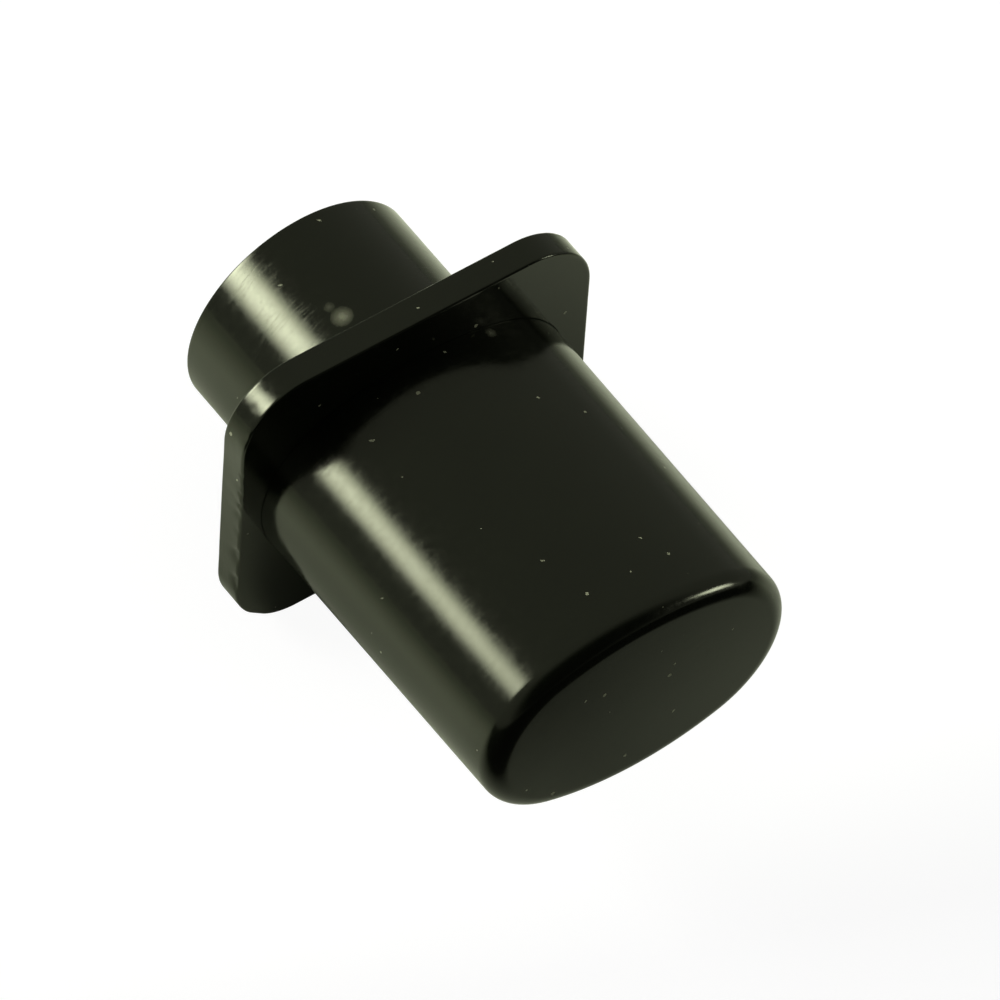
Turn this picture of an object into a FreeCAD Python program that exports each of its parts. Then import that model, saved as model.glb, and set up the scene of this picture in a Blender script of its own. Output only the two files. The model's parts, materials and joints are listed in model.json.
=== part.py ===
import FreeCAD, Part
import math
import os
import re
import Sketcher
from FreeCAD import Placement, Rotation, Vector

# An oval push button for a round panel hole.
#
# Every piece is drawn with its own Z along the pressing axis: z = 0 is the panel's front face,
# +z points out at the finger, and -z runs back through the panel. SEAT then lays that axis along
# -Y, so the finished part stands as it does on an upright panel: X is the brim's long side, Z its
# short side, and +Y points through the panel.

SIZES = {
    # brim: the rounded rectangular flange that sits on the panel and overhangs the cap all round
    "brim_overhang_long": 1.6,
    "brim_overhang_short": 3.15,
    "brim_thickness": 1.95,
    "brim_corner": 4.5,
    "brim_edge": 0.15,
    # pocket in the brim's front face that the cap's skirt sinks into
    "skirt_gap": 0.15,
    "skirt_dip": 0.15,
    # neck: the round sleeve behind the panel
    "neck_radius": 7.85,
    "neck_length": 10.0,
    "neck_wall": 1.4,
    "base_shelf": 0.6,
    # web across the neck, and the tower that stands on it inside the cap
    "web_thickness": 0.9,
    "tower_wall": 0.9,
    "tower_clear": 0.6,
    # posts that keep the cap from turning
    "post_gap": 0.95,
    "post_clear": 0.6,
    "post_width": 2.4,
    "post_height": 9.0,
    # cap: a tall oval shell
    "cap_length": 21.5,
    "cap_width": 15.0,
    "cap_side_bow": 0.7,
    "cap_height": 22.9,
    "cap_draft": 0.4,
    "cap_edge": 1.25,
    "cap_wall": 1.4,
    "cap_top": 1.8,
    "rib_thickness": 0.9,
    "rib_height": 4.5,
    "channel_clear": 0.3,
    "channel_rise": 2.0,
    # boss under the cap's top, with its threaded insert
    "boss_radius": 3.9,
    "boss_length": 7.4,
    "insert_radius": 2.6,
    "insert_length": 5.5,
    # plunger
    "stem_radius": 2.25,
    "thread_radius": 1.5,
    "stem_end": 0.3,
    "groove_depth": 0.6,
    # guide bush and stem seal in the tower
    "bush_wall": 0.9,
    "bush_flange": 0.5,
    "bush_flange_radius": 5.2,
    "seal_wire": 0.5,
    "retainer_thickness": 0.8,
    "retainer_bore_gap": 0.3,
    # springs
    "spring_wire": 0.7,
    "spring_gap": 0.35,
    "spring_turns": 9.0,
    "seat_thickness": 0.8,
    "contact_spring_wire": 0.3,
    "contact_spring_radius": 2.2,
    "contact_spring_turns": 2.25,
    "contact_spring_length": 1.5,
    # clip that stops the cap from being pulled off
    "clip_thickness": 0.4,
    "clip_width": 1.9,
    "clip_mouth": 70.0,
    # carrier on the plunger's end
    "carrier_radius": 3.3,
    "carrier_flange": 0.5,
    "carrier_post": 1.5,
    "stop_thickness": 0.4,
    "stop_radius": 2.3,
    "screw_radius": 0.7,
    "screw_depth": 3.0,
    "screw_head_radius": 1.5,
    "screw_head": 0.5,
    # contact bridge and tips
    "bridge_thickness": 0.35,
    "bridge_margin": 0.2,
    "bridge_width": 2.4,
    "bridge_eye": 2.7,
    "tip_margin": 0.35,
    "tip_radius": 0.8,
    "tip_height": 0.3,
    "tip_bevel": 0.08,
    "overtravel": 0.4,
    # terminals
    "strip_thickness": 0.35,
    "pad_width": 2.2,
    "pad_margin": 0.1,
    "blade_inset": 1.4,
    "blade_width": 1.5,
    "blade_recess": 0.3,
    "blade_hole": 0.35,
    # terminal base and the ring that holds it
    "base_thickness": 1.5,
    "well_radius": 2.8,
    "well_gap": 0.3,
    "ring_thickness": 0.4,
    "ring_bite": 0.45,
    "ring_width": 0.95,
    "ring_mouth": 50.0,
    # stroke and clearances
    "stroke": 1.2,
    "running_gap": 0.05,
    "seated_gap": 0.02,
    "loose_gap": 0.12,
    "stop_gap": 0.05,
}

# Heights along the pressing axis and radii that several pieces share.
PLACES = {
    "brim_half_length": "cap_length/2 + brim_overhang_long",
    "brim_half_width": "cap_width/2 + brim_overhang_short",
    "brim_front": "brim_thickness",
    "skirt_end": "brim_front - skirt_dip",
    "pocket_floor": "skirt_end - stroke - stop_gap",
    "web_rear": "pocket_floor - web_thickness",
    "cap_end_radius": "cap_width/2 - cap_side_bow",
    "cap_face": "brim_front + cap_height",
    "cap_ceiling": "cap_face - cap_top",
    "boss_end": "cap_ceiling - boss_length",
    "seat_rear": "boss_end - seat_thickness",
    "tower_top": "seat_rear - stroke - tower_clear",
    "tower_radius": "seal_recess + tower_wall",
    "bush_radius": "stem_radius + running_gap + bush_wall",
    "seal_radius": "stem_radius + running_gap + seal_wire",
    "seal_recess": "seal_radius + seal_wire + seated_gap",
    "retainer_rear": "tower_top - retainer_thickness",
    "bush_front": "retainer_rear - 2*seal_wire - 2*seated_gap",
    "flange_rear": "web_rear - bush_flange",
    "clip_front": "flange_rear - stop_gap",
    "clip_rear": "clip_front - clip_thickness",
    "clip_bore": "stem_radius - groove_depth + seated_gap",
    "carrier_front": "clip_rear - stem_end",
    "carrier_shelf": "carrier_front - carrier_flange",
    "bridge_front": "carrier_shelf - contact_spring_length",
    "bridge_rear": "bridge_front - bridge_thickness",
    "contact_gap": "stroke - overtravel",
    "stop_front": "bridge_rear - stop_gap",
    "stop_rear": "stop_front - stop_thickness",
    "fixed_tip_front": "bridge_rear - tip_height - contact_gap",
    "pad_front": "fixed_tip_front - tip_height",
    "base_front": "pad_front - strip_thickness",
    "base_rear": "base_front - base_thickness",
    "well_floor": "stop_rear - screw_head - stroke - well_gap",
    "ring_rear": "base_rear - ring_thickness",
    "neck_bore": "neck_radius - neck_wall",
    "groove_radius": "neck_bore + ring_bite + running_gap",
    "spring_radius": "tower_radius + spring_gap + spring_wire/2",
    "spring_outer": "spring_radius + spring_wire/2",
    "post_inner": "spring_outer + post_clear",
    "post_outer": "cap_length/2 - cap_wall - post_gap",
    "blade_outer": "neck_bore - blade_inset",
    "blade_inner": "blade_outer - strip_thickness",
    "tip_place": "blade_inner - tip_margin - tip_radius",
    "pad_inner": "tip_place - tip_radius - pad_margin",
    "bridge_reach": "tip_place + tip_radius + bridge_margin",
    "blade_end": "-neck_length + blade_recess",
}

SEAT = Placement(Vector(0, 0, 0), Rotation(Vector(1, 0, 0), 90))

doc = FreeCAD.newDocument("push_button")
sheet = doc.addObject("Spreadsheet::Sheet", "sizes")
for row, (alias, number) in enumerate(SIZES.items(), start=1):
    sheet.set(f"A{row}", alias)
    sheet.set(f"B{row}", str(number))
    sheet.setAlias(f"B{row}", alias)
doc.recompute()

pieces = []


# ---- formulas ------------------------------------------------------------------------------


def cells(formula):
    """Turn a formula of named sizes and places into one over the sheet's cells."""
    def word(match):
        name = match.group()
        if name in PLACES:
            return "(" + cells(PLACES[name]) + ")"
        return "sizes." + name if name in SIZES else name
    return re.sub(r"[a-z_]+", word, formula)


def value(formula):
    return float(sheet.evalExpression(cells(formula)))


def bind(feature, setting, formula):
    feature.setExpression(setting, cells(formula))


# ---- sketches ------------------------------------------------------------------------------


def sketch_on(body, name, plane, height="0"):
    """Empty sketch on one of the body's own planes, raised along that plane's normal."""
    sketch = body.newObject("Sketcher::SketchObject", name)
    support = next(item for item in body.Origin.OriginFeatures if item.Role == plane)
    sketch.AttachmentSupport = [(support, "")]
    sketch.MapMode = "FlatFace"
    bind(sketch, "AttachmentOffset.Base.z", height)
    return sketch


def constrain(sketch, formula, *args):
    """Add a driving constraint whose size follows a formula."""
    index = sketch.addConstraint(Sketcher.Constraint(*args, value(formula)))
    bind(sketch, f"Constraints[{index}]", formula)


def pin_point(sketch, edge, end, across, along):
    constrain(sketch, across, "DistanceX", -1, 1, edge, end)
    constrain(sketch, along, "DistanceY", -1, 1, edge, end)


def polygon(sketch, corners):
    """Closed outline of straight lines through corners, each a pair of formulas."""
    first = sketch.GeometryCount
    count = len(corners)
    points = [Vector(value(across), value(along), 0) for across, along in corners]
    for i in range(count):
        sketch.addGeometry(Part.LineSegment(points[i], points[(i + 1) % count]), False)
    for i in range(count):
        joint = (first + i, 2, first + (i + 1) % count, 1)
        sketch.addConstraint(Sketcher.Constraint("Coincident", *joint))
    for i, (across, along) in enumerate(corners):
        pin_point(sketch, first + i, 1, across, along)


def rectangle(sketch, left, right, low, high):
    polygon(sketch, [(left, low), (right, low), (right, high), (left, high)])


def circle(sketch, across, along, radius):
    centre = Vector(value(across), value(along), 0)
    ring = sketch.addGeometry(Part.Circle(centre, Vector(0, 0, 1), value(radius)), False)
    pin_point(sketch, ring, 3, across, along)
    constrain(sketch, radius, "Radius", ring)


def oval(sketch, half_length, half_width, end_radius):
    """Closed oval of four tangent arcs: two small ends and two long sides."""
    a, b, small = f"({half_length})", f"({half_width})", f"({end_radius})"
    large = f"(({a}^2 - 2*{a}*{small} + {b}^2)/(2*({b} - {small})))"
    across = f"(({a} - {small})*{large}/({large} - {small}))"
    along = f"({small}*({large} - {b})/({large} - {small}))"
    joints = [
        (across, f"-{along}"),
        (across, along),
        (f"-{across}", along),
        (f"-{across}", f"-{along}"),
    ]
    centres = [
        (f"{a} - {small}", "0"),
        ("0", f"{b} - {large}"),
        (f"{small} - {a}", "0"),
        ("0", f"{large} - {b}"),
    ]
    for i in range(4):
        x, y = (value(part) for part in centres[i])
        start, finish = (
            math.atan2(value(point[1]) - y, value(point[0]) - x)
            for point in (joints[i], joints[(i + 1) % 4])
        )
        finish += 2 * math.pi if finish < start else 0
        ring = Part.Circle(Vector(x, y, 0), Vector(0, 0, 1), value((small, large)[i % 2]))
        sketch.addGeometry(Part.ArcOfCircle(ring, start, finish), False)
    for i in range(4):
        sketch.addConstraint(Sketcher.Constraint("Coincident", i, 2, (i + 1) % 4, 1))
        pin_point(sketch, i, 1, *joints[i])
        constrain(sketch, (small, large)[i % 2], "Radius", i)


# ---- features ------------------------------------------------------------------------------


def new_body(label):
    body = doc.addObject("PartDesign::Body", label)
    body.Label = label
    body.Placement = SEAT
    pieces.append(body)
    return body


def pad(body, sketch, length, draft=None, down=False):
    """Extrude a sketch up from its plane, or down from it, leaning in by the draft angle."""
    feature = body.newObject("PartDesign::Pad", sketch.Name + "_pad")
    feature.Profile = sketch
    feature.Reversed = down
    bind(feature, "Length", length)
    if draft:
        bind(feature, "TaperAngle", f"-{draft}")
    doc.recompute()
    return feature


def pocket(body, sketch, depth, draft=None, up=False):
    """Cut a sketch's outline down from its plane, or up from it, and see that it cut."""
    before = body.Shape.Volume
    feature = body.newObject("PartDesign::Pocket", sketch.Name + "_cut")
    feature.Profile = sketch
    feature.Reversed = up
    bind(feature, "Length", depth)
    if draft:
        bind(feature, "TaperAngle", f"-{draft}")
    doc.recompute()
    if not body.Shape.Volume < before:
        raise RuntimeError(feature.Name + " cuts nothing")
    return feature


def turn(body, outline, name="turn", cut=False, mouth=None):
    """Turn an outline of (radius, height) corners about the pressing axis, or cut it away.

    mouth is the angle left open, for a ring that is split.
    """
    before = body.Shape.Volume if cut else 0
    sketch = sketch_on(body, f"{body.Name}_{name}", "XZ_Plane")
    polygon(sketch, outline)
    kind = "PartDesign::Groove" if cut else "PartDesign::Revolution"
    feature = body.newObject(kind, sketch.Name + "_round")
    feature.Profile = sketch
    feature.ReferenceAxis = (sketch, ["V_Axis"])
    feature.Angle = 360
    if mouth:
        feature.Midplane = True
        bind(feature, "Angle", f"360 - {mouth}")
    doc.recompute()
    if cut and not body.Shape.Volume < before:
        raise RuntimeError(feature.Name + " cuts nothing")
    return feature


def round_edges(body, radius, chosen):
    """Fillet the edges of the body's last feature that chosen(edge) picks."""
    base = body.Tip
    names = [f"Edge{i}" for i, edge in enumerate(base.Shape.Edges, start=1) if chosen(edge)]
    feature = body.newObject("PartDesign::Fillet", base.Name + "_rounded")
    feature.Base = (base, names)
    bind(feature, "Radius", radius)
    doc.recompute()
    return feature


def flat_at(height):
    """Picks edges that lie at one height."""
    level = value(height)
    return lambda edge: abs(edge.BoundBox.ZMin - level) < 1e-4 and abs(edge.BoundBox.ZMax - level) < 1e-4


def upright(edge):
    return edge.BoundBox.ZLength > 1e-3 and max(edge.BoundBox.XLength, edge.BoundBox.YLength) < 1e-6


def washer(label, inner, outer, rear, front, mouth=None):
    body = new_body(label)
    turn(body, [(inner, rear), (outer, rear), (outer, front), (inner, front)], mouth=mouth)
    return body


def coil(label, radius, wire, low, high, turns):
    """Helical spring of round wire whose wire just reaches both heights."""
    body = new_body(label)
    sketch = sketch_on(body, label + "_wire", "XZ_Plane")
    circle(sketch, radius, f"{low} + {wire}/2", f"{wire}/2")
    helix = body.newObject("PartDesign::AdditiveHelix", label + "_helix")
    helix.Profile = sketch
    helix.ReferenceAxis = (sketch, ["V_Axis"])
    helix.Mode = "pitch-height-angle"
    bind(helix, "Pitch", f"({high} - {low} - {wire})/{turns}")
    bind(helix, "Height", f"{high} - {low} - {wire}")
    doc.recompute()
    return body


# ---- fixed pieces --------------------------------------------------------------------------


def housing():
    """Brim, neck, web, tower and guide posts: one moulding."""
    body = new_body("housing")
    brim = sketch_on(body, "brim", "XY_Plane")
    rectangle(brim, "-brim_half_length", "brim_half_length", "-brim_half_width", "brim_half_width")
    pad(body, brim, "brim_thickness")
    round_edges(body, "brim_corner", upright)
    round_edges(body, "brim_edge", flat_at("brim_front"))
    well = sketch_on(body, "skirt_pocket", "XY_Plane", "brim_front")
    oval(well, "cap_length/2 + skirt_gap", "cap_width/2 + skirt_gap", "cap_end_radius + skirt_gap")
    pocket(body, well, "brim_front - pocket_floor")
    turn(body, [
        ("0", "-neck_length"),
        ("neck_radius", "-neck_length"),
        ("neck_radius", "pocket_floor"),
        ("tower_radius", "pocket_floor"),
        ("tower_radius", "tower_top"),
        ("0", "tower_top"),
    ], "core")
    shelf_bore = "neck_bore - base_shelf"
    turn(body, [
        ("0", "-neck_length"),
        ("neck_bore", "-neck_length"),
        ("neck_bore", "ring_rear - seated_gap"),
        ("groove_radius", "ring_rear - seated_gap"),
        ("groove_radius", "base_rear"),
        ("neck_bore", "base_rear"),
        ("neck_bore", "base_front"),
        (shelf_bore, "base_front"),
        (shelf_bore, "web_rear"),
        ("bush_radius + seated_gap", "web_rear"),
        ("bush_radius + seated_gap", "bush_front"),
        ("seal_recess", "bush_front"),
        ("seal_recess", "tower_top"),
        ("0", "tower_top"),
    ], "bore", cut=True)
    posts = sketch_on(body, "guide_posts", "XY_Plane", "pocket_floor")
    for side in ("", "-"):
        ends = sorted((f"{side}post_inner", f"{side}post_outer"), key=value)
        rectangle(posts, *ends, "-post_width/2", "post_width/2")
    pad(body, posts, "post_height")


def guide_parts():
    """Flanged bush in the tower, the ring seal above it and the ring that keeps the seal in."""
    bush = new_body("guide_bush")
    bore = "stem_radius + running_gap"
    turn(bush, [
        (bore, "flange_rear"),
        ("bush_flange_radius", "flange_rear"),
        ("bush_flange_radius", "web_rear"),
        ("bush_radius", "web_rear"),
        ("bush_radius", "bush_front"),
        (bore, "bush_front"),
    ])
    seal = new_body("stem_seal")
    section = sketch_on(seal, "seal_section", "XZ_Plane")
    circle(section, "seal_radius", "bush_front + seal_wire + seated_gap", "seal_wire")
    ring = seal.newObject("PartDesign::Revolution", "seal_ring")
    ring.Profile = section
    ring.ReferenceAxis = (section, ["V_Axis"])
    ring.Angle = 360
    hole = "stem_radius + retainer_bore_gap"
    washer("seal_retainer", hole, "seal_recess - seated_gap", "retainer_rear", "tower_top")


def terminal_base():
    """Insulating disc on the neck's shelf, with slots for the blades and a well for the screw."""
    body = new_body("contact_base")
    rim = "neck_bore - seated_gap"
    turn(body, [
        ("0", "base_rear"),
        (rim, "base_rear"),
        (rim, "base_front"),
        ("well_radius", "base_front"),
        ("well_radius", "well_floor"),
        ("0", "well_floor"),
    ])
    slots = sketch_on(body, "blade_slots", "XY_Plane", "base_front")
    half_slot = "(blade_width/2 + seated_gap)"
    for side in ("", "-"):
        near = f"{side}(blade_inner - seated_gap)"
        far = f"{side}(blade_outer + seated_gap)"
        rectangle(slots, *sorted((near, far), key=value), f"-{half_slot}", half_slot)
    pocket(body, slots, "base_thickness")
    bore = "neck_bore + ring_bite"
    washer("base_ring", f"{bore} - ring_width", bore, "ring_rear", "base_rear", mouth="ring_mouth")


def terminal(side, name):
    """Angle strip: a pad on the base under the fixed tip, and a blade down through the base."""
    body = new_body(f"terminal_{name}")
    sign = "" if side > 0 else "-"
    section = sketch_on(body, f"strip_{name}", "XZ_Plane")
    inner = f"{sign}pad_inner"
    bend = f"{sign}blade_inner"
    outer = f"{sign}blade_outer"
    polygon(section, [
        (inner, "base_front"),
        (bend, "base_front"),
        (bend, "blade_end"),
        (outer, "blade_end"),
        (outer, "pad_front"),
        (inner, "pad_front"),
    ])
    strip = body.newObject("PartDesign::Pad", f"strip_{name}_pad")
    strip.Profile = section
    strip.Midplane = True
    bind(strip, "Length", "pad_width")
    doc.recompute()
    shoulders = sketch_on(body, f"shoulders_{name}", "YZ_Plane", f"{sign}(blade_inner - strip_thickness)")
    rectangle(shoulders, "blade_width/2", "pad_width", "blade_end - strip_thickness", "base_front")
    rectangle(shoulders, "-pad_width", "-blade_width/2", "blade_end - strip_thickness", "base_front")
    pocket(body, shoulders, "3*strip_thickness", up=side > 0)
    hole = sketch_on(body, f"wire_hole_{name}", "YZ_Plane", f"{sign}(blade_inner - strip_thickness)")
    circle(hole, "0", "blade_end + 2*blade_hole", "blade_hole")
    pocket(body, hole, "3*strip_thickness", up=side > 0)


def tip(label, side, rear, front, face):
    """Contact tip welded to a strip: a low disc with its working face bevelled."""
    body = new_body(label)
    inner_face = "tip_radius - tip_bevel"
    if face == "rear":
        outline = [
            ("0", rear),
            (inner_face, rear),
            ("tip_radius", f"{rear} + tip_bevel"),
            ("tip_radius", front),
            ("0", front),
        ]
    else:
        outline = [
            ("0", rear),
            ("tip_radius", rear),
            ("tip_radius", f"{front} - tip_bevel"),
            (inner_face, front),
            ("0", front),
        ]
    turn(body, outline)
    bind(body, "Placement.Base.x", f"{side}*tip_place")


# ---- pieces that move with the finger ------------------------------------------------------


def button_cap():
    """Oval shell with a boss, cross ribs and two pairs of guide ribs inside."""
    body = new_body("button_cap")
    outside = sketch_on(body, "cap_outline", "XY_Plane", "skirt_end")
    oval(outside, "cap_length/2", "cap_width/2", "cap_end_radius")
    pad(body, outside, "cap_face - skirt_end", "cap_draft")
    round_edges(body, "cap_edge", flat_at("cap_face"))
    inside = sketch_on(body, "cap_cavity", "XY_Plane", "skirt_end")
    oval(inside, "cap_length/2 - cap_wall", "cap_width/2 - cap_wall", "cap_end_radius - cap_wall")
    pocket(body, inside, "cap_ceiling - skirt_end", "cap_draft", up=True)

    root = "cap_top/2"
    boss = sketch_on(body, "boss", "XY_Plane", "boss_end")
    circle(boss, "0", "0", "boss_radius")
    pad(body, boss, f"boss_length + {root}")
    reach_long = "(cap_length/2 - cap_wall/2)"
    reach_short = "(cap_width/2 - cap_wall/2)"
    cross = sketch_on(body, "cross_ribs", "XY_Plane", "cap_ceiling - rib_height")
    half_rib = "rib_thickness/2"
    polygon(cross, [
        (f"-{reach_long}", f"-{half_rib}"),
        (f"-{half_rib}", f"-{half_rib}"),
        (f"-{half_rib}", f"-{reach_short}"),
        (half_rib, f"-{reach_short}"),
        (half_rib, f"-{half_rib}"),
        (reach_long, f"-{half_rib}"),
        (reach_long, half_rib),
        (half_rib, half_rib),
        (half_rib, reach_short),
        (f"-{half_rib}", reach_short),
        (f"-{half_rib}", half_rib),
        (f"-{reach_long}", half_rib),
    ])
    pad(body, cross, f"rib_height + {root}")
    channels = sketch_on(body, "guide_channels", "XY_Plane", "skirt_end + channel_rise")
    near = "(spring_outer + channel_clear)"
    low = "(post_width/2 + loose_gap)"
    high = f"({low} + rib_thickness)"
    for side in ("", "-"):
        ends = sorted((f"{side}{near}", f"{side}{reach_long}"), key=value)
        rectangle(channels, *ends, low, high)
        rectangle(channels, *ends, f"-{high}", f"-{low}")
    pad(body, channels, f"cap_ceiling - skirt_end - channel_rise + {root}")

    hole = sketch_on(body, "insert_hole", "XY_Plane", "boss_end")
    circle(hole, "0", "0", "insert_radius + seated_gap")
    pocket(body, hole, "insert_length + seated_gap", up=True)


def plunger():
    """Stem with a threaded head, a clip groove near its end and a screw hole up that end."""
    body = new_body("plunger")
    groove = "stem_radius - groove_depth"
    turn(body, [
        ("screw_radius", "carrier_front"),
        ("stem_radius", "carrier_front"),
        ("stem_radius", "clip_rear - seated_gap"),
        (groove, "clip_rear - seated_gap"),
        (groove, "clip_front + seated_gap"),
        ("stem_radius", "clip_front + seated_gap"),
        ("stem_radius", "seat_rear"),
        ("thread_radius", "seat_rear"),
        ("thread_radius", "boss_end + insert_length"),
        ("0", "boss_end + insert_length"),
        ("0", "carrier_front + screw_depth"),
        ("screw_radius", "carrier_front + screw_depth"),
    ])


def cap_fittings():
    """Threaded insert in the boss, the washer the return spring pushes on, and the stop clip."""
    thread_bore = "thread_radius + seated_gap"
    washer("cap_insert", thread_bore, "insert_radius", "boss_end", "boss_end + insert_length")
    washer("spring_seat", thread_bore, "spring_outer", "seat_rear", "boss_end")
    clip_outer = "clip_bore + clip_width"
    washer("retaining_clip", "clip_bore", clip_outer, "clip_rear", "clip_front", mouth="clip_mouth")


def carrier_parts():
    """Flanged carrier under the plunger, the washer the bridge rests on and their screw."""
    carrier = new_body("bridge_carrier")
    bore = "screw_radius + seated_gap"
    turn(carrier, [
        (bore, "stop_front"),
        ("carrier_post", "stop_front"),
        ("carrier_post", "carrier_shelf"),
        ("carrier_radius", "carrier_shelf"),
        ("carrier_radius", "carrier_front"),
        (bore, "carrier_front"),
    ])
    washer("stop_washer", bore, "stop_radius", "stop_rear", "stop_front")
    screw = new_body("carrier_screw")
    shank = "screw_radius - seated_gap"
    turn(screw, [
        ("0", "stop_rear - screw_head"),
        ("screw_head_radius", "stop_rear - screw_head"),
        ("screw_head_radius", "stop_rear"),
        (shank, "stop_rear"),
        (shank, "carrier_front + screw_depth - stop_gap"),
        ("0", "carrier_front + screw_depth - stop_gap"),
    ])


def contact_bridge():
    """Flat copper strip with a round eye that slides on the carrier's post."""
    body = new_body("contact_bridge")
    eye = sketch_on(body, "bridge_eye_disc", "XY_Plane", "bridge_rear")
    circle(eye, "0", "0", "bridge_eye")
    pad(body, eye, "bridge_thickness")
    strip = sketch_on(body, "bridge_strip", "XY_Plane", "bridge_rear")
    rectangle(strip, "-bridge_reach", "bridge_reach", "-bridge_width/2", "bridge_width/2")
    pad(body, strip, "bridge_thickness")
    hole = sketch_on(body, "bridge_hole", "XY_Plane", "bridge_front")
    circle(hole, "0", "0", "carrier_post + running_gap")
    pocket(body, hole, "bridge_thickness")


# ---- build ---------------------------------------------------------------------------------

housing()
guide_parts()
terminal_base()
for side, name in ((-1, "left"), (1, "right")):
    terminal(side, name)
    tip(f"fixed_tip_{name}", side, "pad_front", "fixed_tip_front", "front")
    tip(f"moving_tip_{name}", side, "bridge_rear - tip_height", "bridge_rear", "rear")
coil("return_spring", "spring_radius", "spring_wire", "pocket_floor", "seat_rear", "spring_turns")
button_cap()
plunger()
cap_fittings()
carrier_parts()
contact_bridge()
coil(
    "contact_spring", "contact_spring_radius", "contact_spring_wire",
    "bridge_front", "carrier_shelf", "contact_spring_turns",
)
doc.recompute()

for item in doc.Objects:
    if "Invalid" in item.State or "Error" in item.State:
        raise RuntimeError(f"{item.Name} failed: {item.State}")
for piece in pieces:
    if piece.Shape.isNull() or not piece.Shape.isValid() or len(piece.Shape.Solids) != 1:
        raise RuntimeError(f"{piece.Label} is not one sound solid")

os.makedirs("parts", exist_ok=True)
for piece in pieces:
    piece.Shape.exportStep(f"parts/{piece.Label}.step")
    box = piece.Shape.BoundBox
    print(f"{piece.Label}: {piece.Shape.Volume:.2f} mm3, y {box.YMin:.2f} to {box.YMax:.2f}")
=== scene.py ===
import json
import math

import bmesh
import bpy
import numpy as np
from mathutils import Matrix, Vector


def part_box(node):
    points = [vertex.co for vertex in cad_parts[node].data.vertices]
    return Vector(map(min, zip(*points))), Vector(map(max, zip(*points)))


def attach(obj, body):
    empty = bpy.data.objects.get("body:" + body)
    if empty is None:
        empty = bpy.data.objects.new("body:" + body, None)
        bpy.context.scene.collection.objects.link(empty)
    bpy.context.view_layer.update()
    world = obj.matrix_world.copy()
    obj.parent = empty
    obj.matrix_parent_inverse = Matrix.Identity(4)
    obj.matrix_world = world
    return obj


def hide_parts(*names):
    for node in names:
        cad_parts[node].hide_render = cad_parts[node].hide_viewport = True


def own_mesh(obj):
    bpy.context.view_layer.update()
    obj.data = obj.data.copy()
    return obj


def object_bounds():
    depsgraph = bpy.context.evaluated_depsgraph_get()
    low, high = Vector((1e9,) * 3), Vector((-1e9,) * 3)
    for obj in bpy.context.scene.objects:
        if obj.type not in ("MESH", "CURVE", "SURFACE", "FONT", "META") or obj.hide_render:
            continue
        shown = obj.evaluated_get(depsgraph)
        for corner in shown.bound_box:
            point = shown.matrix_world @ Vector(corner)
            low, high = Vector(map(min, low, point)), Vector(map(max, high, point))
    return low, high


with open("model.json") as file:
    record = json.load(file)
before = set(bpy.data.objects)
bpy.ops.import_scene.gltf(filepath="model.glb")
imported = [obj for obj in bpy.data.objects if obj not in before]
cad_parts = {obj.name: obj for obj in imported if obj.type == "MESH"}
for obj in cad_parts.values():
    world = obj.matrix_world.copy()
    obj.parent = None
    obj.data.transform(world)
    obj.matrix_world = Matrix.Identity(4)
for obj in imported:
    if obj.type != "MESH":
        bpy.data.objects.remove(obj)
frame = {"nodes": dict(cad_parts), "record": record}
cad_low, cad_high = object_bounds()

# An oval push button for a round panel hole. X is the brim's long side, Z its short side, and the
# button is pressed along +Y. Shapes below are worked out in millimetres, with a height that grows
# towards the finger, so a point's Y is minus its height; make_mesh turns them to metres.

MM = 0.001
FINE = 576
COARSE = 96


def box_mm(node):
    """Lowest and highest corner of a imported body, in mm."""
    low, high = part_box(node)
    return np.array(low) / MM, np.array(high) / MM


# ---- sizes in mm ---------------------------------------------------------------------------

mounts = {mount["name"]: mount for mount in frame["record"]["mounts"]}
housing_low, housing_high = box_mm("housing")
cap_low, cap_high = box_mm("button_cap")
bush_low, bush_high = box_mm("guide_bush")
retainer_low, retainer_high = box_mm("seal_retainer")
base_low, base_high = box_mm("contact_base")
ring_low, ring_high = box_mm("base_ring")
insert_low, insert_high = box_mm("cap_insert")
spring_low, spring_high = box_mm("return_spring")
shelf_low, shelf_high = box_mm("contact_spring")

SEATED = 0.02
BRIM = (housing_high[0], housing_high[2])
BRIM_THICKNESS = 1.95
BRIM_CORNER = 4.5
BRIM_EDGE = 0.15
CAP = (cap_high[0], cap_high[2])
CAP_END_RADIUS = cap_high[2] - 0.7
CAP_FACE = -cap_low[1]
CAP_EDGE = 1.25
CAP_DRAFT = math.tan(math.radians(0.4))
CAP_WALL = 1.4
CAP_CEILING = CAP_FACE - 1.8
SKIRT_END = -cap_high[1]
SKIRT_GAP = 0.02
BOSS_RADIUS = 3.9
BOSS_END = -insert_high[1]
INSERT_HOLE = insert_high[0] + SEATED
INSERT_ROOF = -insert_low[1] + SEATED
POCKET_FLOOR = -spring_high[1]
WEB_REAR = POCKET_FLOOR - 0.9
NECK_RADIUS = mounts["neck"]["dims"]["r_mm"]
NECK_END = -housing_high[1]
NECK_BORE = base_high[0] + SEATED
SHELF_BORE = NECK_BORE - 0.6
RING_GROOVE = ring_high[0] + 0.05
TOWER_TOP = -housing_low[1]
SEAL_RECESS = retainer_high[0] + SEATED
TOWER_RADIUS = SEAL_RECESS + 0.9
BUSH_FRONT = -bush_low[1]
BUSH_HOLE = 3.22
POST_INNER = spring_high[0] + 0.6
POST_OUTER = CAP[0] - CAP_WALL - 0.95
POST_HALF_WIDTH = 1.2
POST_TOP = POCKET_FLOOR + 9.0
RIB = 0.9
RETURN_WIRE, RETURN_TURNS = 0.7, 9.0
CONTACT_WIRE, CONTACT_TURNS = 0.3, 2.25


# ---- outlines and skins --------------------------------------------------------------------


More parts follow.
